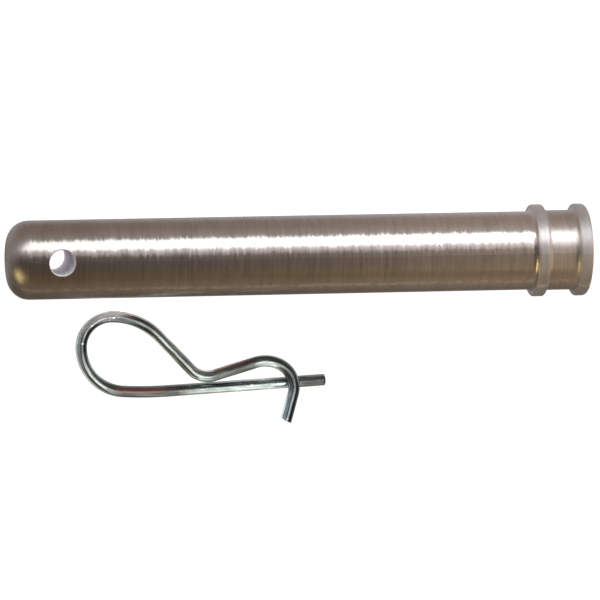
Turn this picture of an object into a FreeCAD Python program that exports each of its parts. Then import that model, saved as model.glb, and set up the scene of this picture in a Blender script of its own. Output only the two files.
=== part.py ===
"""A hitch pin and its spring clip, in millimetres.

The pin is turned from one bar: a round-nosed shank with a cross hole near the nose, and a head made of a
collar, a neck and an end flange. The clip is one bent spring wire. It lies flat beside the pin, on the
same level as the lowest points of the head.

Frame: +X runs along the pin from the nose to the head, +Z is the axis of the cross hole, and the origin is
where that axis crosses the pin's axis.
"""

import FreeCAD, Part
import Sketcher

import math
import os

TOLERANCE = 1e-4
FULL_TURN = 360.0
POINTS_ON_MOUTH = 9
SWEEP_TOLERANCE = 0.002
LEAST_BORE_SHARE = 0.9

# (name, value, meaning). Lengths are in millimetres and angles in degrees.
PIN_DIMENSIONS = [
    ("shank_diameter", 15.875, "shank, 5/8 inch bar"),
    ("neck_diameter", 16.15, "neck between the collar and the end flange"),
    ("head_diameter", 18.65, "collar and end flange"),
    ("nose_to_hole", 10.1, "flat of the nose to the axis of the cross hole"),
    ("hole_to_seat", 96.55, "axis of the cross hole to the seating side of the collar"),
    ("collar_width", 2.5, "width of the collar"),
    ("neck_length", 6.2, "collar to end flange"),
    ("flange_width", 2.65, "width of the end flange"),
    ("nose_radius", 4.4, "round at the nose"),
    ("seat_fillet", 0.7, "fillet where the shank meets the collar"),
    ("relief_fillet", 0.6, "fillet between the neck and the back of the collar"),
    ("flange_fillet", 0.9, "fillet where the neck meets the end flange"),
    ("rim_round", 0.5, "rounded rims of the collar and the inner rim of the flange"),
    ("end_round", 1.0, "larger round at the outer rim of the flange"),
    ("hole_diameter", 5.1, "cross hole"),
    ("hole_chamfer", 0.2, "broken edge at both mouths of the cross hole"),
]

CLIP_DIMENSIONS = [
    ("wire_diameter", 2.38, "spring wire, 3/32 inch"),
    ("tip_x", 55.8, "free tip of the straight leg, along the pin"),
    ("tip_y", -26.2, "free tip of the straight leg, across the pin"),
    ("leg_tilt", 2.8, "angle of the straight leg to the pin's axis"),
    ("arm_rise", 3.4, "tilt of the spring arm's plane, so that its tail passes over the leg"),
    ("tip_round", 0.45, "rounded end of the straight leg"),
    ("tail_round", 0.2, "broken edge at the end of the tail"),
    ("leg_length", 32.4, "straight run of the leg"),
    ("heel_radius", 76.0, "slow bend from the leg into the bow"),
    ("heel_angle", 6.85, "turn of that bend"),
    ("lower_bow_radius", 9.1, "bow from the leg up to the crown"),
    ("upper_bow_radius", 6.15, "bow from the crown over the top"),
    ("upper_bow_angle", 90.0, "turn of the upper bow"),
    ("shoulder_radius", 13.3, "long bend from the bow into the arm"),
    ("shoulder_angle", 46.7, "turn of the shoulder"),
    ("arm_length", 9.2, "straight run from the shoulder to the throat"),
    ("throat_radius", 4.8, "bend where the arm comes nearest the leg"),
    ("throat_angle", 63.1, "turn of the throat"),
    ("rise_length", 8.7, "straight run from the throat to the hump"),
    ("hump_radius", 6.8, "hump that seats on the shank"),
    ("hump_angle", 41.5, "turn of the hump"),
    ("hook_radius", 5.2, "tighter bend from the hump into the tail"),
    ("hook_angle", 80.2, "turn of the hook"),
    ("tail_length", 5.9, "straight tail that crosses over the leg"),
]


def make_sheet(document):
    """The driving dimensions, each in a cell whose alias the sub-parts refer to."""
    sheet = document.addObject("Spreadsheet::Sheet", "Dimensions")
    for row, (name, value, meaning) in enumerate(PIN_DIMENSIONS + CLIP_DIMENSIONS, start=1):
        sheet.set(f"A{row}", name)
        sheet.set(f"B{row}", str(value))
        sheet.set(f"C{row}", meaning)
        sheet.setAlias(f"B{row}", name)
    document.recompute()
    return sheet


def make_body(document, name):
    body = document.addObject("PartDesign::Body", name)
    body.Label = name
    return body


def new_sketch(body, name, plane_role):
    """A sketch on one of the body's own origin planes."""
    plane = next(feature for feature in body.Origin.OriginFeatures if feature.Role == plane_role)
    sketch = body.newObject("Sketcher::SketchObject", name)
    sketch.AttachmentSupport = [(plane, "")]
    sketch.MapMode = "FlatFace"
    return sketch


def bind(sketch, constraint, name, expression):
    """Adds a constraint with a name and ties its value to the sheet."""
    index = sketch.addConstraint(constraint)
    sketch.renameConstraint(index, name)
    sketch.setExpression(f"Constraints.{name}", expression)


def dress(body, kind, name, base, edges, alias):
    """A fillet or a chamfer on the named edges of the feature before it, sized by a cell of the sheet."""
    feature = body.newObject(f"PartDesign::{kind}", name)
    feature.Base = (base, edges)
    size_property = "Radius" if kind == "Fillet" else "Size"
    feature.setExpression(size_property, f"Dimensions.{alias}")
    body.Document.recompute()
    return feature


def rims(feature, station, radius):
    """Names of the circular edges of a turned feature at one station along its axis."""
    names = []
    for number, edge in enumerate(feature.Shape.Edges, start=1):
        circle = edge.Curve
        if not isinstance(circle, Part.Circle):
            continue
        at_station = abs(circle.Center.x - station) < TOLERANCE
        if at_station and abs(circle.Radius - radius) < TOLERANCE:
            names.append(f"Edge{number}")
    return names


# ---- the pin ----

def pin_outline(body, sheet):
    """Half of the pin's section: its axis, then the nose, the shank and the steps of the head."""
    shank = sheet.shank_diameter / 2
    neck = sheet.neck_diameter / 2
    head = sheet.head_diameter / 2
    nose = -sheet.nose_to_hole
    seat = sheet.hole_to_seat
    collar_back = seat + sheet.collar_width
    flange_front = collar_back + sheet.neck_length
    end = flange_front + sheet.flange_width
    corners = [
        (nose, 0), (nose, shank), (seat, shank), (seat, head), (collar_back, head),
        (collar_back, neck), (flange_front, neck), (flange_front, head), (end, head), (end, 0),
    ]
    sketch = new_sketch(body, "pin_outline", "XZ_Plane")
    points = [FreeCAD.Vector(x, z, 0) for x, z in corners]
    edges = []
    for start, stop in zip(points, points[1:] + points[:1]):
        edges.append(sketch.addGeometry(Part.LineSegment(start, stop), False))
    for number, edge in enumerate(edges):
        following = edges[(number + 1) % len(edges)]
        sketch.addConstraint(Sketcher.Constraint("Coincident", edge, 2, following, 1))
        direction = "Vertical" if number % 2 == 0 else "Horizontal"
        sketch.addConstraint(Sketcher.Constraint(direction, edge))
    nose_edge, shank_edge, _, collar_edge, _, neck_edge, _, flange_edge, _, axis_edge = edges
    sketch.addConstraint(Sketcher.Constraint("PointOnObject", axis_edge, 1, -1))

    def along(edge, length, name, expression):
        bind(sketch, Sketcher.Constraint("DistanceX", edge, 1, edge, 2, length), name, expression)

    def from_axis(edge, radius, name, expression):
        bind(sketch, Sketcher.Constraint("DistanceY", -1, 1, edge, 1, radius), name, expression)

    bind(
        sketch,
        Sketcher.Constraint("DistanceX", nose_edge, 1, -1, 1, sheet.nose_to_hole),
        "nose_to_hole", "Dimensions.nose_to_hole",
    )
    along(shank_edge, seat - nose, "shank_length", "Dimensions.nose_to_hole + Dimensions.hole_to_seat")
    along(collar_edge, sheet.collar_width, "collar_width", "Dimensions.collar_width")
    along(neck_edge, sheet.neck_length, "neck_length", "Dimensions.neck_length")
    along(flange_edge, sheet.flange_width, "flange_width", "Dimensions.flange_width")
    from_axis(shank_edge, shank, "shank_radius", "Dimensions.shank_diameter / 2")
    from_axis(collar_edge, head, "collar_radius", "Dimensions.head_diameter / 2")
    from_axis(neck_edge, neck, "neck_radius", "Dimensions.neck_diameter / 2")
    from_axis(flange_edge, head, "flange_radius", "Dimensions.head_diameter / 2")
    return sketch


def hole_mouths(feature, sheet):
    """Names of the saddle-shaped edges where the cross hole comes out of the shank."""
    hole = sheet.hole_diameter / 2
    names = []
    for number, edge in enumerate(feature.Shape.Edges, start=1):
        points = edge.discretize(POINTS_ON_MOUTH)
        on_hole_wall = all(abs(math.hypot(point.x, point.y) - hole) < TOLERANCE for point in points)
        runs_round = max(point.x for point in points) - min(point.x for point in points) > hole
        if on_hole_wall and runs_round:
            names.append(f"Edge{number}")
    return names


def make_pin(document, sheet):
    body = make_body(document, "hitch_pin")
    outline = pin_outline(body, sheet)
    document.recompute()
    blank = body.newObject("PartDesign::Revolution", "turned_bar")
    blank.Profile = outline
    blank.ReferenceAxis = (outline, ["H_Axis"])
    blank.Angle = FULL_TURN
    document.recompute()

    shank = sheet.shank_diameter / 2
    neck = sheet.neck_diameter / 2
    head = sheet.head_diameter / 2
    seat = sheet.hole_to_seat
    collar_back = seat + sheet.collar_width
    flange_front = collar_back + sheet.neck_length
    end = flange_front + sheet.flange_width

    turned = dress(body, "Fillet", "nose_round", blank, rims(blank, -sheet.nose_to_hole, shank), "nose_radius")
    turned = dress(body, "Fillet", "seat_root", turned, rims(turned, seat, shank), "seat_fillet")
    turned = dress(body, "Fillet", "neck_relief", turned, rims(turned, collar_back, neck), "relief_fillet")
    turned = dress(body, "Fillet", "flange_root", turned, rims(turned, flange_front, neck), "flange_fillet")
    turned = dress(body, "Fillet", "end_rim", turned, rims(turned, end, head), "end_round")
    rim_edges = []
    for station in (seat, collar_back, flange_front):
        rim_edges += rims(turned, station, head)
    turned = dress(body, "Fillet", "inner_rims", turned, rim_edges, "rim_round")

    circle = new_sketch(body, "hole_circle", "XY_Plane")
    circle.addGeometry(Part.Circle(FreeCAD.Vector(), FreeCAD.Vector(0, 0, 1), sheet.hole_diameter / 2), False)
    circle.addConstraint(Sketcher.Constraint("Coincident", 0, 3, -1, 1))
    diameter = Sketcher.Constraint("Diameter", 0, sheet.hole_diameter)
    bind(circle, diameter, "hole_diameter", "Dimensions.hole_diameter")
    document.recompute()
    hole = body.newObject("PartDesign::Pocket", "cross_hole")
    hole.Profile = circle
    hole.Type = "ThroughAll"
    hole.Midplane = True
    document.recompute()
    removed = turned.Shape.Volume - hole.Shape.Volume
    bore_volume = math.pi * (sheet.hole_diameter / 2) ** 2 * sheet.shank_diameter
    if not LEAST_BORE_SHARE * bore_volume < removed < bore_volume:
        raise RuntimeError("the cross hole doesn't go through the shank")
    dress(body, "Chamfer", "hole_chamfers", hole, hole_mouths(hole, sheet), "hole_chamfer")
    return body


# ---- the clip ----

class WirePath:
    """The centre line of a bent wire, drawn in a sketch as runs and bends that join smoothly."""

    def __init__(self, sketch, heading):
        self.sketch = sketch
        self.point = FreeCAD.Vector()
        self.heading = heading
        self.previous = None

    def direction(self, angle):
        return FreeCAD.Vector(math.cos(math.radians(angle)), math.sin(math.radians(angle)), 0)

    def join(self, edge, start, stop):
        """Ties an edge to the one before it, or to the origin and the first heading."""
        if self.previous is None:
            self.sketch.addConstraint(Sketcher.Constraint("Coincident", edge, start, -1, 1))
        else:
            last_edge, last_stop = self.previous
            self.sketch.addConstraint(Sketcher.Constraint("Tangent", last_edge, last_stop, edge, start))
        self.previous = (edge, stop)

    def run(self, name, length):
        """A straight run of the wire."""
        end = self.point + self.direction(self.heading) * length
        edge = self.sketch.addGeometry(Part.LineSegment(self.point, end), False)
        if self.previous is None:
            self.sketch.addConstraint(Sketcher.Constraint("Horizontal", edge))
        self.join(edge, 1, 2)
        bind(self.sketch, Sketcher.Constraint("Distance", edge, length), name, f"Dimensions.{name}")
        self.point = end

    def bend(self, name, radius, turn, side, turn_expression=None):
        """A bend of the wire, to the left (side 1) or to the right (side -1)."""
        centre = self.point + self.direction(self.heading + 90 * side) * radius
        first = math.radians(self.heading - 90 * side)
        last = first + math.radians(turn) * side
        circle = Part.Circle(centre, FreeCAD.Vector(0, 0, 1), radius)
        arc = Part.ArcOfCircle(circle, min(first, last), max(first, last))
        edge = self.sketch.addGeometry(arc, False)
        start, stop = (1, 2) if side > 0 else (2, 1)
        if self.previous is None:
            self.sketch.addConstraint(Sketcher.Constraint("PointOnObject", edge, 3, -1))
        self.join(edge, start, stop)
        radius_name = f"{name}_radius"
        bind(self.sketch, Sketcher.Constraint("Radius", edge, radius), radius_name, f"Dimensions.{radius_name}")
        turn_expression = turn_expression or f"Dimensions.{name}_angle"
        angle = Sketcher.Constraint("Angle", edge, math.radians(turn))
        bind(self.sketch, angle, f"{name}_angle", f"({turn_expression}) * 1 deg")
        self.heading += turn * side
        self.point = centre + self.direction(self.heading - 90 * side) * radius


def sweep_wire(body, path, section_plane, sheet):
    """The round wire along a path that starts at the body's origin, square to the section plane."""
    section = new_sketch(body, f"{body.Label}_section", section_plane)
    centre = FreeCAD.Vector()
    section.addGeometry(Part.Circle(centre, FreeCAD.Vector(0, 0, 1), sheet.wire_diameter / 2), False)
    section.addConstraint(Sketcher.Constraint("Coincident", 0, 3, -1, 1))
    diameter = Sketcher.Constraint("Diameter", 0, sheet.wire_diameter)
    bind(section, diameter, "wire_diameter", "Dimensions.wire_diameter")
    body.Document.recompute()
    wire = body.newObject("PartDesign::AdditivePipe", f"{body.Label}_wire")
    wire.Profile = section
    wire.Spine = (path, [f"Edge{number + 1}" for number in range(path.GeometryCount)])
    body.Document.recompute()
    length = sum(edge.Length for edge in path.Shape.Edges)
    expected = math.pi * (sheet.wire_diameter / 2) ** 2 * length
    if abs(wire.Shape.Volume - expected) > SWEEP_TOLERANCE * expected:
        raise RuntimeError(f"{body.Label}: the swept wire has the wrong volume")
    return wire


def round_end(body, wire, end_point, alias):
    """Rounds the edge of the flat end of the wire that is centred on end_point."""
    names = []
    for number, edge in enumerate(wire.Shape.Edges, start=1):
        if isinstance(edge.Curve, Part.Circle) and edge.Curve.Center.distanceToPoint(end_point) < TOLERANCE:
            names.append(f"Edge{number}")
    dress(body, "Fillet", f"{body.Label}_end", wire, names, alias)


def level_of_wire(sheet):
    """Height of the wire's centre line when the clip lies level with the bottom of the head."""
    return (sheet.wire_diameter - sheet.head_diameter) / 2


def make_leg(document, sheet):
    """The straight leg and the lower bow, up to the crown. The body's origin is the leg's tip."""
    body = make_body(document, "clip_straight_leg")
    sketch = new_sketch(body, "leg_path", "XY_Plane")
    path = WirePath(sketch, 180.0)
    path.run("leg_length", sheet.leg_length)
    path.bend("heel", sheet.heel_radius, sheet.heel_angle, -1)
    to_crown = 90.0 + sheet.leg_tilt - sheet.heel_angle
    turn = "90 + Dimensions.leg_tilt - Dimensions.heel_angle"
    path.bend("lower_bow", sheet.lower_bow_radius, to_crown, -1, turn)
    document.recompute()
    wire = sweep_wire(body, sketch, "YZ_Plane", sheet)
    round_end(body, wire, FreeCAD.Vector(), "tip_round")
    tip = FreeCAD.Vector(sheet.tip_x, sheet.tip_y, level_of_wire(sheet))
    turned = FreeCAD.Rotation(FreeCAD.Vector(0, 0, 1), sheet.leg_tilt)
    body.Placement = FreeCAD.Placement(tip, turned)
    return body, body.Placement.multVec(path.point)


def make_arm(document, sheet, crown):
    """The upper bow, the arm, the hump and the tail. The body's origin is the crown of the bow."""
    body = make_body(document, "clip_spring_arm")
    sketch = new_sketch(body, "arm_path", "XY_Plane")
    path = WirePath(sketch, 90.0)
    path.bend("upper_bow", sheet.upper_bow_radius, sheet.upper_bow_angle, -1)
    path.bend("shoulder", sheet.shoulder_radius, sheet.shoulder_angle, -1)
    path.run("arm_length", sheet.arm_length)
    path.bend("throat", sheet.throat_radius, sheet.throat_angle, 1)
    path.run("rise_length", sheet.rise_length)
    path.bend("hump", sheet.hump_radius, sheet.hump_angle, -1)
    path.bend("hook", sheet.hook_radius, sheet.hook_angle, -1)
    path.run("tail_length", sheet.tail_length)
    document.recompute()
    wire = sweep_wire(body, sketch, "XZ_Plane", sheet)
    round_end(body, wire, path.point, "tail_round")
    lifted = FreeCAD.Rotation(FreeCAD.Vector(0, 1, 0), -sheet.arm_rise)
    body.Placement = FreeCAD.Placement(crown, lifted)
    return body


# ---- checks and files ----

def check_document(document, bodies):
    """Stops if any object failed to compute or any sub-part isn't one sound solid."""
    document.recompute()
    for item in document.Objects:
        if "Invalid" in item.State or "Error" in item.State:
            raise RuntimeError(f"{item.Label} failed: {item.State}")
    for body in bodies:
        shape = body.Shape
        if shape.isNull() or not shape.isValid() or len(shape.Solids) != 1:
            raise RuntimeError(f"{body.Label} isn't one valid solid")


def main():
    document = FreeCAD.newDocument("HitchPin")
    sheet = make_sheet(document)
    pin = make_pin(document, sheet)
    leg, crown = make_leg(document, sheet)
    arm = make_arm(document, sheet, crown)
    bodies = [pin, leg, arm]
    check_document(document, bodies)
    os.makedirs("parts", exist_ok=True)
    for body in bodies:
        body.Shape.exportStep(f"parts/{body.Label}.step")
        print(f"{body.Label}: {body.Shape.Volume:.2f} mm3")
    print(f"crown of the bow: {crown.x:.4f} {crown.y:.4f} {crown.z:.4f}")


main()
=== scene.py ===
"""The looks of a hitch pin and its spring clip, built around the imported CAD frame, in metres."""

from collections import namedtuple
import math

import bpy
from mathutils import Matrix, Vector
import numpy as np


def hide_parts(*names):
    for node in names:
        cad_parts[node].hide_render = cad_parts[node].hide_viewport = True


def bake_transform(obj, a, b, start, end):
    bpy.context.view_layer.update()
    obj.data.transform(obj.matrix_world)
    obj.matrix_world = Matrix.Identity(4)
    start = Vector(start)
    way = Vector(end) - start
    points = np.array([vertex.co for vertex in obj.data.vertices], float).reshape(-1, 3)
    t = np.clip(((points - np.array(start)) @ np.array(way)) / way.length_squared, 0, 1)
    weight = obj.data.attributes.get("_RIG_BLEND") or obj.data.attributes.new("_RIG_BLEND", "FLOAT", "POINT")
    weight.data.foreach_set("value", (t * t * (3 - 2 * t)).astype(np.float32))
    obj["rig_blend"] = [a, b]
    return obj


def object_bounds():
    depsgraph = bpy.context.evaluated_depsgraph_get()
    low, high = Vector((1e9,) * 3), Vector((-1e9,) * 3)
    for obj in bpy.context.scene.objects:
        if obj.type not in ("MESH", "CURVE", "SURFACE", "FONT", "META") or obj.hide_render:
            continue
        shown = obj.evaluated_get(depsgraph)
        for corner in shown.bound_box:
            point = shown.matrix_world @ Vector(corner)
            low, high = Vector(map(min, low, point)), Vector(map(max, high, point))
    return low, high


MM = 0.001
WHITE = (1.0, 1.0, 1.0)
ALONG_PIN = Vector((1, 0, 0))

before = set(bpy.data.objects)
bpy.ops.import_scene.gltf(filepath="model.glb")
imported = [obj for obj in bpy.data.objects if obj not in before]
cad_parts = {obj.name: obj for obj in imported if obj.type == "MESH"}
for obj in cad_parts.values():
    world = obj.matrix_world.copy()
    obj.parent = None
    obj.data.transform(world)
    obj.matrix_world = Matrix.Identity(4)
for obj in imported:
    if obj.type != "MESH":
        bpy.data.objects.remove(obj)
cad_low, cad_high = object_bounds()


# ---- small helpers for node trees ----

def new_tree(name):
    """A material with an empty node tree and a Principled shader wired to its output."""
    material = bpy.data.materials.new(name)
    material.use_nodes = True
    tree = material.node_tree
    tree.nodes.clear()
    output = tree.nodes.new("ShaderNodeOutputMaterial")
    shader = tree.nodes.new("ShaderNodeBsdfPrincipled")
    tree.links.new(shader.outputs["BSDF"], output.inputs["Surface"])
    return material, tree, shader


def plug(tree, socket, value):
    """Links another node's output to a socket, or sets the socket to a plain value."""
    if isinstance(value, bpy.types.NodeSocket):
        tree.links.new(value, socket)
    else:
        socket.default_value = value


def calculate(tree, operation, *values):
    """A Math node. Each value is a number or another node's output."""
    node = tree.nodes.new("ShaderNodeMath")
    node.operation = operation
    for socket, value in zip(node.inputs, values):
        plug(tree, socket, value)
    return node.outputs[0]


def vector_math(tree, operation, *values):
    """A Vector Math node that gives a vector."""
    node = tree.nodes.new("ShaderNodeVectorMath")
    node.operation = operation
    for socket, value in zip(node.inputs, values):
        plug(tree, socket, value)
    return node.outputs["Vector"]


def scaled(tree, vector, factor):
    """A vector or a colour times a number."""
    node = tree.nodes.new("ShaderNodeVectorMath")
    node.operation = "SCALE"
    plug(tree, node.inputs["Vector"], vector)
    plug(tree, node.inputs["Scale"], factor)
    return node.outputs["Vector"]


def split(tree, vector):
    """The three parts of a vector."""
    node = tree.nodes.new("ShaderNodeSeparateXYZ")
    plug(tree, node.inputs[0], vector)
    return node.outputs


def length_of(tree, first, second):
    """The length of a flat vector, from its two parts."""
    squares = [calculate(tree, "MULTIPLY", part, part) for part in (first, second)]
    return calculate(tree, "SQRT", calculate(tree, "ADD", *squares))


def noise(tree, place, stretch, detail=2.0, roughness=0.5):
    """Noise from 0 to 1, with its own number of grains per unit along each axis."""
    stretched = vector_math(tree, "MULTIPLY", place, stretch)
    node = tree.nodes.new("ShaderNodeTexNoise")
    plug(tree, node.inputs["Vector"], stretched)
    node.inputs["Scale"].default_value = 1.0
    node.inputs["Detail"].default_value = detail
    node.inputs["Roughness"].default_value = roughness
    return node.outputs["Fac"]


def wandering(tree, value, grain, reach):
    """A value moved up or down by noise, by half the reach at most."""
    return calculate(tree, "MULTIPLY_ADD", grain, reach, calculate(tree, "ADD", value, -reach / 2))


def fade(tree, value, start, stop, low=0.0, high=1.0):
    """A smooth step: low where the value is at or before start, high from stop on."""
    node = tree.nodes.new("ShaderNodeMapRange")
    node.interpolation_type = "SMOOTHSTEP"
    plug(tree, node.inputs["Value"], value)
    plug(tree, node.inputs["From Min"], start)
    plug(tree, node.inputs["From Max"], stop)
    plug(tree, node.inputs["To Min"], low)
    plug(tree, node.inputs["To Max"], high)
    return node.outputs["Result"]


def both(tree, first, second):
    """One where both masks are one, and zero where either is zero."""
    return calculate(tree, "MULTIPLY", first, second)


def between(tree, value, start, stop, edge):
    """One from start to stop, and zero beyond a soft edge outside them."""
    rise = fade(tree, value, start - edge, start)
    fall = fade(tree, value, stop, stop + edge, 1.0, 0.0)
    return both(tree, rise, fall)


def blend_colours(tree, factor, first, second):
    """The first colour at factor 0, the second at 1. Each is three numbers or another node's output."""
    node = tree.nodes.new("ShaderNodeMix")
    node.data_type = "RGBA"
    inputs = [socket for socket in node.inputs if socket.enabled]
    plug(tree, inputs[0], factor)
    for socket, colour in zip(inputs[1:], (first, second)):
        plug(tree, socket, colour if isinstance(colour, bpy.types.NodeSocket) else (*colour, 1.0))
    return next(socket for socket in node.outputs if socket.enabled)


def ramp(tree, factor, stops):
    """A colour ramp. Each stop is a place from 0 to 1 and a colour."""
    node = tree.nodes.new("ShaderNodeValToRGB")
    elements = node.color_ramp.elements
    while len(elements) < len(stops):
        elements.new(0.5)
    for element, (place, colour) in zip(elements, stops):
        element.position = place
        element.color = (*colour, 1.0)
    tree.links.new(factor, node.inputs["Fac"])
    return node.outputs["Color"]


def roughen(tree, shader, height, depth, normal=None):
    """Bump on a shader, with its depth in mm, over the mesh's own normal or another one."""
    bump = tree.nodes.new("ShaderNodeBump")
    bump.inputs["Strength"].default_value = 1.0
    bump.inputs["Distance"].default_value = depth * MM
    plug(tree, bump.inputs["Height"], height)
    if normal is not None:
        plug(tree, bump.inputs["Normal"], normal)
    tree.links.new(bump.outputs[0], shader.inputs["Normal"])


# ---- camera ----

CAMERA_DISTANCE = 1.4
CAMERA_TARGET = Vector((49.27, -9.11, 0.0)) * MM
CAMERA_SWING = math.radians(10.0)
CAMERA_TILT = math.radians(5.6)
CAMERA_ROLL = math.radians(1.185)
CAMERA_NEAR = 0.1
CAMERA_FAR = 20.0
SENSOR_WIDTH = 36.0
FRAME_WIDTH = 120.72 * MM


def level_axes(back):
    """The right and up directions of something whose back points that way, level along the pin."""
    right = (ALONG_PIN - back * ALONG_PIN.dot(back)).normalized()
    return right, back.cross(right)


def placed(centre, right, up, back):
    """A transform with this centre and these axes."""
    axes = Matrix((right, up, back)).transposed()
    return Matrix.Translation(centre) @ axes.to_4x4()


def make_camera():
    """A long lens, close to straight above, swung towards the nose and tilted past the pin."""
    away = Vector((
        -math.sin(CAMERA_SWING),
        math.sin(CAMERA_TILT) * math.cos(CAMERA_SWING),
        math.cos(CAMERA_TILT) * math.cos(CAMERA_SWING),
    )).normalized()
    right, up = level_axes(away)
    roll = Matrix.Rotation(-CAMERA_ROLL, 3, away)
    data = bpy.data.cameras.new("camera")
    data.sensor_width = SENSOR_WIDTH
    data.lens = SENSOR_WIDTH * CAMERA_DISTANCE / FRAME_WIDTH
    data.clip_start = CAMERA_NEAR
    data.clip_end = CAMERA_FAR
    camera = bpy.data.objects.new("camera", data)
    camera.matrix_world = placed(CAMERA_TARGET + away * CAMERA_DISTANCE, roll @ right, roll @ up, away)
    bpy.context.scene.collection.objects.link(camera)
    bpy.context.scene.camera = camera


# ---- floor ----

FLOOR_HALF_WIDTH = 12.0
FLOOR_GAP = 0.02 * MM
FLOOR_COLOUR = (0.85, 0.85, 0.85, 1.0)
FLOOR_ROUGHNESS = 0.9
FLOOR_GLOW = 1.0


def make_floor():
    """A plain pale ground just under the object. It glows, and the metal doesn't mirror it."""
    height = cad_low.z - FLOOR_GAP
    edge = FLOOR_HALF_WIDTH
    corners = [(x, y, height) for x, y in ((-edge, -edge), (edge, -edge), (edge, edge), (-edge, edge))]
    mesh = bpy.data.meshes.new("floor")
    mesh.from_pydata(corners, [], [(0, 1, 2, 3)])
    floor = bpy.data.objects.new("floor", mesh)
    bpy.context.scene.collection.objects.link(floor)
    material, tree, shader = new_tree("pale_ground")
    shader.inputs["Base Color"].default_value = FLOOR_COLOUR
    shader.inputs["Roughness"].default_value = FLOOR_ROUGHNESS
    shader.inputs["Emission Color"].default_value = (*WHITE, 1.0)
    shader.inputs["Emission Strength"].default_value = FLOOR_GLOW
    mesh.materials.append(material)
    floor.visible_glossy = False


# ---- light ----

# Dim light from all round, by the angle in degrees from straight up, positive towards +Y.
SURROUNDINGS = [
    (-180.0, (0.34, 0.32, 0.33)),
    (-142.0, (0.14, 0.12, 0.105)),
    (-118.0, (0.20, 0.166, 0.13)),
    (-98.0, (0.265, 0.215, 0.168)),
    (-75.0, (0.225, 0.175, 0.12)),
    (-45.0, (0.11, 0.085, 0.058)),
    (-14.0, (0.082, 0.073, 0.076)),
    (20.0, (0.11, 0.10, 0.11)),
    (62.0, (0.30, 0.28, 0.27)),
    (76.0, (0.40, 0.37, 0.37)),
    (97.0, (0.33, 0.28, 0.25)),
    (128.0, (0.32, 0.27, 0.26)),
    (152.0, (0.46, 0.45, 0.47)),
    (180.0, (0.44, 0.42, 0.43)),
]


def make_world():
    """Dim warm surroundings for the metal to mirror, and a plain white sky behind the floor."""
    world = bpy.data.worlds.new("studio")
    world.use_nodes = True
    tree = world.node_tree
    tree.nodes.clear()
    output = tree.nodes.new("ShaderNodeOutputWorld")
    direction = split(tree, tree.nodes.new("ShaderNodeTexCoord").outputs["Generated"])
    angle = calculate(tree, "ARCTAN2", direction["Y"], direction["Z"])
    turn = calculate(tree, "MULTIPLY_ADD", angle, 0.5 / math.pi, 0.5)
    around = ramp(tree, turn, [((degrees + 180.0) / 360.0, colour) for degrees, colour in SURROUNDINGS])
    rays = tree.nodes.new("ShaderNodeLightPath")
    seen = blend_colours(tree, rays.outputs["Is Camera Ray"], around, WHITE)
    background = tree.nodes.new("ShaderNodeBackground")
    plug(tree, background.inputs["Color"], seen)
    tree.links.new(background.outputs[0], output.inputs["Surface"])
    bpy.context.scene.world = world


def add_card(name, piece, target, towards, distance, size, radiance, colour):
    """A soft rectangular light, its long side along the pin, that only lights the given piece."""
    data = bpy.data.lights.new(name, "AREA")
    data.shape = "RECTANGLE"
    data.size, data.size_y = size
    data.energy = radiance * math.pi * size[0] * size[1]
    data.color = colour
    light = bpy.data.objects.new(name, data)
    back = Vector(towards).normalized()
    light.matrix_world = placed(Vector(target) + back * distance, *level_axes(back), back)
    light.visible_camera = False
    bpy.context.scene.collection.objects.link(light)
    lit = bpy.data.collections.new(f"lit_by_{name}")
    lit.objects.link(piece)
    light.light_linking.receiver_collection = lit


def towards_y(degrees, swing=0.17):
    """A direction at an angle from straight up, positive towards +Y, swung a little towards the head."""
    lean = math.radians(degrees)
    return (swing, math.sin(lean), math.cos(lean))


def light_the_pin(pin):
    """A white strip above and behind with a paler edge, a soft card past the head and a small warm one."""
    add_card(
        "strip", pin, target=(-0.10, 0, 0), towards=towards_y(45.5), distance=0.6,
        size=(1.5, 0.28), radiance=2.9, colour=(0.88, 0.95, 1.0),
    )
    add_card(
        "strip_glow", pin, target=(0.05, 0, 0), towards=towards_y(24.0), distance=0.6,
        size=(1.4, 0.19), radiance=0.62, colour=(0.92, 0.89, 1.0),
    )
    add_card(
        "head_card", pin, target=(0.32, 0, 0), towards=towards_y(-20.0, 0.3), distance=0.28,
        size=(0.34, 0.46), radiance=0.88, colour=(1.0, 0.81, 0.60),
    )
    add_card(
        "warm_card", pin, target=(0, 0, 0), towards=(-0.84, -0.52, 0.12), distance=0.5,
        size=(0.22, 0.20), radiance=2.2, colour=(1.0, 0.84, 0.42),
    )


def light_the_clip(wire):
    """A card overhead, the pale ground's glow, a tall window in front and a cool card on the nose's side."""
    middle = (0.03, -0.026, -0.008)
    just_over_ground = (0.025, -0.022, cad_low.z - FLOOR_GAP / 2)
    add_card(
        "overhead_card", wire, target=middle, towards=(0.30, -0.10, 0.95), distance=0.5,
        size=(0.36, 0.28), radiance=0.95, colour=(1.0, 1.0, 0.98),
    )
    add_card(
        "ground_glow", wire, target=just_over_ground, towards=(0, 0, -1), distance=0.0,
        size=(0.16, 0.10), radiance=0.55, colour=WHITE,
    )
    add_card(
        "window", wire, target=middle, towards=(0.1, -0.76, 0.64), distance=0.5,
        size=(0.34, 0.85), radiance=1.5, colour=(1.0, 1.0, 0.97),
    )
    add_card(
        "side_card", wire, target=middle, towards=(-0.75, -0.1, 0.6), distance=0.5,
        size=(0.45, 0.5), radiance=0.28, colour=(0.92, 0.96, 1.0),
    )


# ---- the pin's steel ----

# Places on the pin in mm, along it from the cross hole's axis.
NOSE_ROUND = -5.7
SEAT = 96.55
NECK_START = 99.05
SHANK_RADIUS = 7.94
BORE_RADIUS = 2.55
# Painted shade and light: the steel darkens towards the nose and pales towards the head over these spans,
# for how the light falls along the pin.
NOSE_TO_MIDDLE = (-12.0, 45.0)
MIDDLE_TO_HEAD = (42.0, 85.0)

# The nose's colour is painted shade and the head's colour is painted light.
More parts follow.
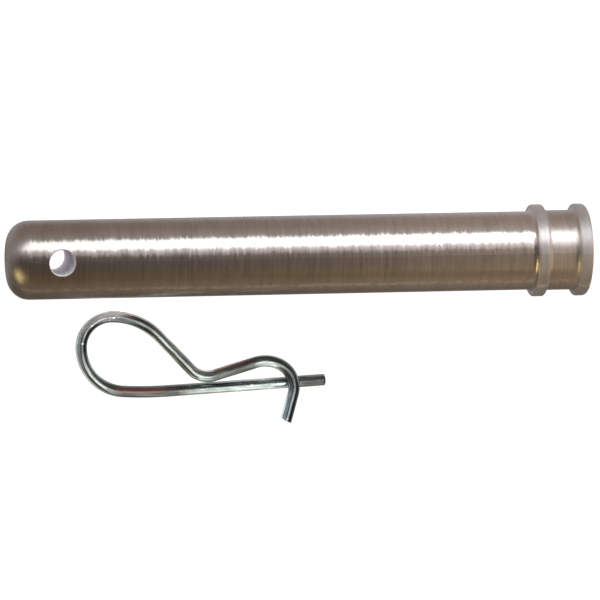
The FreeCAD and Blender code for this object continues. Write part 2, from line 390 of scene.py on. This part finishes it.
SHADED_NOSE_STEEL = (0.46, 0.405, 0.36)
MIDDLE_STEEL = (0.60, 0.535, 0.48)
LIT_HEAD_STEEL = (0.75, 0.67, 0.605)
RIM_STEEL = (0.68, 0.63, 0.61)
# The bore's pale colour, with the bore made nearly non-metal, is a painted reflection of the bright opening
# beyond it.
BORE_PAINTED_REFLECTION = (0.80, 0.77, 0.81)
PALE_STEEL = (0.72, 0.67, 0.63)
GRIMY_STEEL = (0.48, 0.41, 0.36)
SCUFFED_STEEL = (1.0, 0.93, 0.86)

# Grains of noise per mm along the pin, across it and up.
FINE_RING_GRAIN = (3.2, 0.12, 0.12)
RING_GRAIN = (1.7, 0.10, 0.10)
WIDE_RING_GRAIN = (0.16, 0.05, 0.05)
GRIME_GRAIN = (0.10, 0.35, 0.35)
SCUFF_GRAIN = (0.9, 0.8, 0.8)
SHEEN_GRAIN = (1.5, 0.25, 0.25)

# Noise levels where a mark starts and is complete, and its share before and after.
PALE_RINGS = (0.35, 0.7, 0.0, 0.16)
GRIME = (0.5, 0.75, 0.0, 0.22)
STREAKS = (0.32, 0.68, 0.92, 1.07)
SCUFF_GAPS = (0.42, 0.56)

# The scuffed line: its angle from the top in degrees, how far it wanders, and where its edge fades.
SCUFF_ANGLE = -47.0
SCUFF_WANDER = 3.0
SCUFF_EDGE = (5.0, 1.5)
SCUFF_ALONG = (0.0, 90.0, 0.35, 1.0)
SCUFF_STRENGTH = 0.9

PLAIN_ROUGHNESS = 0.21
RING_ROUGHNESS = 0.18
EXTRA_ROUGHNESS = {"rim": 0.22, "bore": 0.2, "nose": 0.06, "neck": 0.14, "scuff": 0.15}
# The bore loses its metal so that its pale colour shows as a painted reflection.
LESS_METALLIC = {"rim": -0.16, "bore": -0.9}
STRETCHED_SHEEN = 0.75
SHEEN_TILT = 0.28
NECK_CALM = -0.7
RING_DEPTH = 0.004


def scuffed_line(tree, place, along, angle, wide_rings):
    """A broken line low on the front of the shank, stronger towards the head."""
    middle = calculate(tree, "MULTIPLY_ADD", wide_rings, SCUFF_WANDER, SCUFF_ANGLE)
    off_line = calculate(tree, "ABSOLUTE", calculate(tree, "SUBTRACT", angle, middle))
    line = fade(tree, off_line, *SCUFF_EDGE)
    broken = fade(tree, noise(tree, place, SCUFF_GRAIN, detail=4.0, roughness=0.75), *SCUFF_GAPS)
    stronger = fade(tree, along, *SCUFF_ALONG)
    return both(tree, line, both(tree, broken, stronger))


def steel_areas(tree, place, wide_rings):
    """Where the collars' rims, the nose, the neck, the bore and the scuffed line are, each from 0 to 1."""
    along, across, height = split(tree, place)
    out = length_of(tree, across, height)
    angle = calculate(tree, "DEGREES", calculate(tree, "ARCTAN2", across, height))
    past_seat = fade(tree, along, SEAT - 0.3, SEAT)
    past_shank = fade(tree, out, SHANK_RADIUS + 0.85, SHANK_RADIUS + 1.2)
    from_bore = length_of(tree, along, across)
    areas = {
        "rim": both(tree, past_seat, past_shank),
        "bore": fade(tree, from_bore, BORE_RADIUS + 0.18, BORE_RADIUS + 0.08),
        "nose": fade(tree, along, NOSE_ROUND + 0.6, NOSE_ROUND - 1.2),
        "neck": fade(tree, along, NECK_START - 0.5, NECK_START),
        "scuff": scuffed_line(tree, place, along, angle, wide_rings),
    }
    return areas, along


def steel_tone(tree, place, along, areas, rings, wide_rings):
    """The steel's colour: darker at the nose and paler at the head as painted shade and painted light, with
    rings, grime and scuffs.
    """
    grime = noise(tree, place, GRIME_GRAIN, detail=3.0)
    # Painted shade at the nose and painted light at the head.
    tone = blend_colours(tree, fade(tree, along, *NOSE_TO_MIDDLE), SHADED_NOSE_STEEL, MIDDLE_STEEL)
    tone = blend_colours(tree, fade(tree, along, *MIDDLE_TO_HEAD), tone, LIT_HEAD_STEEL)
    tone = blend_colours(tree, areas["rim"], tone, RIM_STEEL)
    tone = blend_colours(tree, fade(tree, wide_rings, *PALE_RINGS), tone, PALE_STEEL)
    tone = blend_colours(tree, fade(tree, grime, *GRIME), tone, GRIMY_STEEL)
    tone = scaled(tree, tone, fade(tree, rings, *STREAKS))
    scuffs = calculate(tree, "MULTIPLY", areas["scuff"], SCUFF_STRENGTH)
    tone = blend_colours(tree, scuffs, tone, SCUFFED_STEEL)
    # The pale bore is a painted reflection.
    return blend_colours(tree, areas["bore"], tone, BORE_PAINTED_REFLECTION)


def ragged_normal(tree, place, neck):
    """The normal, tilted unevenly round the bar for a sheen with jagged edges, and calmer on the neck."""
    normal = tree.nodes.new("ShaderNodeNewGeometry").outputs["Normal"]
    round_the_bar = vector_math(tree, "CROSS_PRODUCT", tuple(ALONG_PIN), normal)
    ragged = noise(tree, place, SHEEN_GRAIN, detail=4.0, roughness=0.75)
    tilt = calculate(tree, "MULTIPLY_ADD", ragged, SHEEN_TILT, -SHEEN_TILT / 2)
    tilt = calculate(tree, "MULTIPLY", tilt, calculate(tree, "MULTIPLY_ADD", neck, NECK_CALM, 1.0))
    leaning = vector_math(tree, "ADD", normal, scaled(tree, round_the_bar, tilt))
    return vector_math(tree, "NORMALIZE", leaning)


def turned_steel():
    """Turned steel: fine rings round the bar, a jagged sheen, matt collars and a scuffed line."""
    material, tree, shader = new_tree("turned_steel")
    coordinates = tree.nodes.new("ShaderNodeTexCoord").outputs["Object"]
    place = scaled(tree, coordinates, 1.0 / MM)
    fine_rings = noise(tree, place, FINE_RING_GRAIN, detail=1.0)
    rings = noise(tree, place, RING_GRAIN, detail=3.0, roughness=0.7)
    wide_rings = noise(tree, place, WIDE_RING_GRAIN, detail=2.0)
    areas, along = steel_areas(tree, place, wide_rings)

    tone = steel_tone(tree, place, along, areas, rings, wide_rings)
    plug(tree, shader.inputs["Base Color"], tone)

    rough = calculate(tree, "MULTIPLY_ADD", rings, RING_ROUGHNESS, PLAIN_ROUGHNESS)
    for name, extra in EXTRA_ROUGHNESS.items():
        rough = calculate(tree, "MULTIPLY_ADD", areas[name], extra, rough)
    plug(tree, shader.inputs["Roughness"], rough)
    metallic = 1.0
    for name, less in LESS_METALLIC.items():
        metallic = calculate(tree, "MULTIPLY_ADD", areas[name], less, metallic)
    plug(tree, shader.inputs["Metallic"], metallic)

    shader.inputs["Anisotropic"].default_value = STRETCHED_SHEEN
    shader.inputs["Anisotropic Rotation"].default_value = 0.25
    tangent = tree.nodes.new("ShaderNodeTangent")
    tangent.direction_type = "RADIAL"
    tangent.axis = "X"
    tree.links.new(tangent.outputs[0], shader.inputs["Tangent"])
    roughen(tree, shader, fine_rings, RING_DEPTH, ragged_normal(tree, place, areas["neck"]))
    return material


# ---- the clip's shape ----

# Lengths are in mm.
WIRE_RADIUS = 1.19
WIRE_SIDES = 32
LEG_TIP = Vector((55.8, -26.2))
LEG_TILT = 2.8
ARM_RISE = math.radians(3.4)
TIP_ROUND = 0.45
TAIL_ROUND = 0.2
TAIL_SLANT = 0.22
END_RINGS = 5
STEP_IN_RUN = 1.0
STEP_IN_BEND = 0.3
FLEX_REACH = 11.0

# Runs are (length,). Bends are (radius, degrees, side), with side 1 to the left.
LEG_BOW = 6.85
LEG_ROUTE = [
    (32.4,),
    (76.0, LEG_BOW, -1),
    (9.1, 90.0 + LEG_TILT - LEG_BOW, -1),
]
ARM_ROUTE = [
    (6.15, 90.0, -1),
    (13.3, 46.7, -1),
    (9.2,),
    (4.8, 63.1, 1),
    (8.7,),
    (6.8, 41.5, -1),
    (5.2, 80.2, -1),
    (5.9,),
]

Station = namedtuple("Station", "centre ahead left above done")
Ring = namedtuple("Ring", "centre ahead left above done radius slant")


def trace(start, heading, route):
    """Points along a route in its own plane, each with its heading and its distance from the start."""
    point = Vector(start)
    done = 0.0
    stops = [(point.copy(), heading, done)]
    for piece in route:
        if len(piece) == 1:
            length = piece[0]
            turn = 0.0
            steps = math.ceil(length / STEP_IN_RUN)
        else:
            radius, degrees, side = piece
            length = radius * math.radians(degrees)
            turn = math.radians(degrees) * side
            steps = math.ceil(length / STEP_IN_BEND)
        for _ in range(steps):
            half = turn / steps / 2
            chord = length / steps * (math.sin(half) / half if half else 1.0)
            middle = heading + half
            point = point + Vector((math.cos(middle), math.sin(middle))) * chord
            heading += turn / steps
            done += length / steps
            stops.append((point.copy(), heading, done))
    return stops


def wire_stations():
    """The wire's stations from the leg's tip to the tail, its crown, and how far along the crown is."""
    level = cad_low.z / MM + WIRE_RADIUS
    leg = trace(LEG_TIP, math.radians(180.0 + LEG_TILT), LEG_ROUTE)
    arm = trace((0.0, 0.0), math.radians(90.0), ARM_ROUTE)
    turning_point, _, crown_at = leg[-1]
    crown = Vector((turning_point.x, turning_point.y, level))
    above = Vector((0.0, 0.0, 1.0))
    stations = []
    for point, heading, done in leg:
        ahead = Vector((math.cos(heading), math.sin(heading), 0.0))
        stations.append(Station(Vector((point.x, point.y, level)), ahead, above.cross(ahead), above, done))
    lift = Matrix.Rotation(-ARM_RISE, 3, "Y")
    above = lift @ above
    for point, heading, done in arm[1:]:
        ahead = lift @ Vector((math.cos(heading), math.sin(heading), 0.0))
        centre = crown + lift @ Vector((point.x, point.y, 0.0))
        stations.append(Station(centre, ahead, above.cross(ahead), above, crown_at + done))
    return stations, crown, crown_at


def with_round_ends(stations):
    """The wire's rings. More of them close in at both ends, and the tail's are cut aslant."""
    tip, tail = stations[0], stations[-1]
    turns = [math.radians(90.0 * number / END_RINGS) for number in range(END_RINGS + 1)]
    rings = []
    for turn in turns:
        centre = tip.centre + tip.ahead * (TIP_ROUND * (1.0 - math.cos(turn)))
        radius = WIRE_RADIUS - TIP_ROUND + TIP_ROUND * math.sin(turn)
        rings.append(Ring(centre, *tip[1:], radius, 0.0))
    for station in stations[1:-1]:
        rings.append(Ring(*station, WIRE_RADIUS, 0.0))
    for turn in turns:
        centre = tail.centre - tail.ahead * (TAIL_ROUND * (1.0 - math.sin(turn)))
        radius = WIRE_RADIUS - TAIL_ROUND + TAIL_ROUND * math.cos(turn)
        rings.append(Ring(centre, *tail[1:], radius, TAIL_SLANT))
    return rings


def wire_points(rings):
    """The points of every ring, with their distances along the wire and how far each faces left."""
    points = []
    distances = []
    leans = []
    for ring in rings:
        for side in range(WIRE_SIDES):
            turn = math.tau * side / WIRE_SIDES
            outward = ring.above * math.cos(turn) + ring.left * math.sin(turn)
            lean = outward.dot(ring.left)
            cut = ring.slant * (lean - 1.0) * ring.radius
            points.append((ring.centre + outward * ring.radius + ring.ahead * cut) * MM)
            distances.append(ring.done)
            leans.append(lean)
    return points, distances, leans


def wire_faces(ring_count):
    """Four-sided faces between the rings, and a cap on each end."""
    faces = []
    for ring in range(ring_count - 1):
        first = ring * WIRE_SIDES
        second = first + WIRE_SIDES
        for side in range(WIRE_SIDES):
            following = (side + 1) % WIRE_SIDES
            faces.append((first + side, first + following, second + following, second + side))
    last = (ring_count - 1) * WIRE_SIDES
    faces.append(tuple(reversed(range(WIRE_SIDES))))
    faces.append(tuple(range(last, last + WIRE_SIDES)))
    return faces


def lay_out(mesh, distances):
    """A flat layout of the wire's skin: its share of the length, and its share of the way round."""
    layout = mesh.uv_layers.new(name="wire")
    for polygon in mesh.polygons:
        sides = [vertex % WIRE_SIDES for vertex in polygon.vertices]
        closes_round = len(sides) == 4 and max(sides) - min(sides) > 1
        for loop, vertex, side in zip(polygon.loop_indices, polygon.vertices, sides):
            around = 1.0 if closes_round and side == 0 else side / WIRE_SIDES
            layout.data[loop].uv = (distances[vertex] / distances[-1], around)


def flex_weights(distances, crown_at):
    """How far each point follows the arm: smoothly from 0 to 1 along the bow, either side of the crown."""
    weights = []
    for done in distances:
        share = min(max((done - crown_at + FLEX_REACH) / (2 * FLEX_REACH), 0.0), 1.0)
        weights.append(share * share * (3.0 - 2.0 * share))
    return weights


def make_wire():
    """The clip as one bent wire. Its bow bends as the arm opens."""
    stations, crown, crown_at = wire_stations()
    rings = with_round_ends(stations)
    points, distances, leans = wire_points(rings)
    faces = wire_faces(len(rings))
    mesh = bpy.data.meshes.new("spring_clip")
    mesh.from_pydata(points, [], faces)
    mesh.polygons.foreach_set("use_smooth", [len(face) == 4 for face in faces])
    for name, values in (("distance", distances), ("lean", leans)):
        mesh.attributes.new(name, "FLOAT", "POINT").data.foreach_set("value", values)
    lay_out(mesh, distances)
    mesh.update()
    piece = bpy.data.objects.new("spring_clip", mesh)
    bpy.context.scene.collection.objects.link(piece)
    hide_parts("clip_straight_leg", "clip_spring_arm")
    crown = crown * MM
    reach = Vector((0.0, FLEX_REACH * MM, 0.0))
    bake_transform(piece, "clip", "clip_arm", start=tuple(crown - reach), end=tuple(crown + reach))
    # The tail crosses back over the leg, so the weights go by distance along the wire instead.
    mesh.attributes["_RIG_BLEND"].data.foreach_set("value", flex_weights(distances, crown_at))
    return piece


# ---- the clip's plating ----

# Stretches of the wire: where each starts in mm from the leg's tip, and its colours on the outside and the
# inside of the loop. Their lighter and darker stretches and sides are painted light and shade; the white
# outside of the upper bow is a painted highlight and the dark end beyond the hook painted shade.
Stretch = namedtuple("Stretch", "start outside inside")
PAINTED_LIGHT_STRETCHES = {
    "end beyond the hook": Stretch(0.0, (0.13, 0.135, 0.13), (0.24, 0.25, 0.24)),
    "highlit leg": Stretch(7.0, (0.52, 0.58, 0.57), (0.42, 0.48, 0.46)),
    "plain leg": Stretch(18.0, (0.40, 0.46, 0.44), (0.26, 0.32, 0.30)),
    "shaded leg": Stretch(27.5, (0.14, 0.15, 0.145), (0.20, 0.20, 0.19)),
    "lower bow": Stretch(46.0, (0.54, 0.60, 0.59), (0.34, 0.38, 0.36)),
    "crown": Stretch(53.0, (0.46, 0.51, 0.52), (0.12, 0.13, 0.13)),
    "upper bow": Stretch(60.0, (0.98, 0.99, 1.00), (0.15, 0.165, 0.165)),
    "shoulder": Stretch(68.0, (0.42, 0.45, 0.43), (0.20, 0.225, 0.215)),
    "arm": Stretch(75.0, (0.60, 0.68, 0.65), (0.60, 0.68, 0.65)),
    "throat": Stretch(88.0, (0.34, 0.39, 0.36), (0.20, 0.235, 0.22)),
    "rise": Stretch(92.0, (0.18, 0.18, 0.165), (0.14, 0.15, 0.14)),
    "hump": Stretch(98.5, (0.22, 0.25, 0.24), (0.46, 0.52, 0.50)),
    "hook": Stretch(105.0, (0.20, 0.22, 0.22), (0.12, 0.135, 0.14)),
    "tail": Stretch(110.0, (0.15, 0.165, 0.165), (0.60, 0.70, 0.74)),
}
STRETCH_EDGE = 2.8
ROSY_ZINC = (0.44, 0.22, 0.20)

# Marks along the wire: start, stop and soft edge, in mm from the leg's tip.
LEG_PATCH = (33.5, 42.0, 1.5)
BOW_PATCH = (65.0, 69.0, 1.5)
RISE_PATCH = (91.5, 96.5, 1.5)
# Painted glints: white flecks in the colour stand in for small sparkles of light.
GLINTS_ON_LEG = (8.0, 19.0, 2.0)
GLINTS_ON_BOW = (56.0, 66.0, 2.0)
DULL_LEG = (31.0, 42.0, 2.0)
DULL_RISE = (91.0, 97.5, 2.0)
DULL_TIP = (8.5, 6.5)
# A pale, nearly non-metal patch on the outside of the upper bow: a painted highlight.
PAINTED_HIGHLIGHT_BOW = (57.0, 66.0, 3.0)

# Marks round the wire, by how far it faces left: -1 is the inside of the loop, and 1 the outside.
LEG_PATCH_LEANS = (-0.55, -0.05, 0.25)
BOW_PATCH_LEANS = (0.55, 0.85)
RISE_PATCH_LEANS = (0.2, 0.6)
PAINTED_HIGHLIGHT_LEANS = (-0.2, 0.5)
SIDES_MEET = (-0.30, 0.30)

# Grains of noise on the flat layout, and per mm.
LINE_GRAIN = (60.0, 26.0, 1.0)
WIDE_LINE_GRAIN = (22.0, 9.0, 1.0)
BLOTCH_GRAIN = (0.7, 0.7, 0.7)
GLINT_GRAIN = (0.75, 0.75, 0.75)
WIDE_LINE_SHADES = (0.34, 0.66, 0.62, 1.28)
GLINT_LEVELS = (0.60, 0.66)

BLOTCH_REACH = 4.0
SIDE_REACH = 0.6
ROSY_STRENGTH = 0.85
FAINT_SHARE = 0.5
PAINTED_HIGHLIGHT_METALLIC = -0.9
BRIGHT_ROUGHNESS = 0.07
LINE_ROUGHNESS = 0.18
DULL_ROUGHNESS = 0.22
LINE_DEPTH = 0.05


def tint_along(tree, distance, side):
    """The wire's colour on its outside or inside, fading from one stretch to the next, with painted light
    and shade along it.
    """
    stretches = list(PAINTED_LIGHT_STRETCHES.values())
    tone = getattr(stretches[0], side)
    for stretch in stretches[1:]:
        share = fade(tree, distance, stretch.start - STRETCH_EDGE, stretch.start + STRETCH_EDGE)
        tone = blend_colours(tree, share, tone, getattr(stretch, side))
    return tone


def rosy_share(tree, distance, lean):
    """How rosy the zinc is: a clear patch low on the leg, and faint ones on the bow and the rise."""
    leg = both(tree, between(tree, distance, *LEG_PATCH), between(tree, lean, *LEG_PATCH_LEANS))
    bow = both(tree, between(tree, distance, *BOW_PATCH), fade(tree, lean, *BOW_PATCH_LEANS))
    rise = both(tree, between(tree, distance, *RISE_PATCH), fade(tree, lean, *RISE_PATCH_LEANS))
    faint = calculate(tree, "MULTIPLY", calculate(tree, "MAXIMUM", bow, rise), FAINT_SHARE)
    return calculate(tree, "MULTIPLY", calculate(tree, "MAXIMUM", leg, faint), ROSY_STRENGTH)


def glint_share(tree, place, distance):
    """Small white painted glints on the leg and the bow."""
    glints = fade(tree, noise(tree, place, GLINT_GRAIN, detail=4.0, roughness=0.7), *GLINT_LEVELS)
    glinting = calculate(
        tree, "MAXIMUM", between(tree, distance, *GLINTS_ON_LEG), between(tree, distance, *GLINTS_ON_BOW),
    )
    return both(tree, glints, glinting)


def wire_tone(tree, place, distance, lean, wide_lines):
    """The zinc's colour, with painted light and shade by the stretch and the side, lines, rosy patches and
    painted glints.
    """
    # Inside and outside tints differ as painted light and shade on the two sides of the wire.
    side = fade(tree, wandering(tree, lean, wide_lines, SIDE_REACH), *SIDES_MEET)
    inside = tint_along(tree, distance, "inside")
    outside = tint_along(tree, distance, "outside")
    tone = blend_colours(tree, side, inside, outside)
    tone = scaled(tree, tone, fade(tree, wide_lines, *WIDE_LINE_SHADES))
    tone = blend_colours(tree, rosy_share(tree, distance, lean), tone, ROSY_ZINC)
    # White painted glints.
    return blend_colours(tree, glint_share(tree, place, distance), tone, WHITE)


def wire_roughness(tree, distance, lines):
    """Bright zinc with drawn lines, duller on part of the leg, on the rise and at the leg's tip."""
    dull = calculate(tree, "MAXIMUM", between(tree, distance, *DULL_RISE), fade(tree, distance, *DULL_TIP))
    dull = calculate(tree, "MAXIMUM", between(tree, distance, *DULL_LEG), dull)
    rough = calculate(tree, "MULTIPLY_ADD", lines, LINE_ROUGHNESS, BRIGHT_ROUGHNESS)
    return calculate(tree, "MULTIPLY_ADD", dull, DULL_ROUGHNESS, rough)


def plated_wire():
    """Bright zinc on drawn wire: lines along the wire, dull and bright stretches with painted light and
    shade in their colours, and a pale, nearly non-metal patch on the bow that is a painted highlight.
    """
    material, tree, shader = new_tree("plated_wire")
    stored = {}
    for name in ("distance", "lean"):
        node = tree.nodes.new("ShaderNodeAttribute")
        node.attribute_name = name
        stored[name] = node.outputs["Fac"]
    coordinates = tree.nodes.new("ShaderNodeTexCoord").outputs
    place = scaled(tree, coordinates["Object"], 1.0 / MM)
    lines = noise(tree, coordinates["UV"], LINE_GRAIN, detail=3.0, roughness=0.6)
    wide_lines = noise(tree, coordinates["UV"], WIDE_LINE_GRAIN, detail=3.0)
    blotches = noise(tree, place, BLOTCH_GRAIN, detail=3.0)
    distance = wandering(tree, stored["distance"], blotches, BLOTCH_REACH)
    lean = stored["lean"]

    plug(tree, shader.inputs["Base Color"], wire_tone(tree, place, distance, lean, wide_lines))
    # The pale matt patch on the bow is a painted highlight.
    painted_highlight = both(tree, between(tree, distance, *PAINTED_HIGHLIGHT_BOW), fade(tree, lean, *PAINTED_HIGHLIGHT_LEANS))
    plug(tree, shader.inputs["Metallic"], calculate(tree, "MULTIPLY_ADD", painted_highlight, PAINTED_HIGHLIGHT_METALLIC, 1.0))
    plug(tree, shader.inputs["Roughness"], wire_roughness(tree, distance, lines))
    roughen(tree, shader, wide_lines, LINE_DEPTH)
    return material


# ---- build ----


make_camera()
make_world()
make_floor()
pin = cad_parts["hitch_pin"]
pin.data.materials.clear()
pin.data.materials.append(turned_steel())
wire = make_wire()
wire.data.materials.append(plated_wire())
light_the_pin(pin)
light_the_clip(wire)
bpy.context.scene.view_settings.view_transform = "Standard"
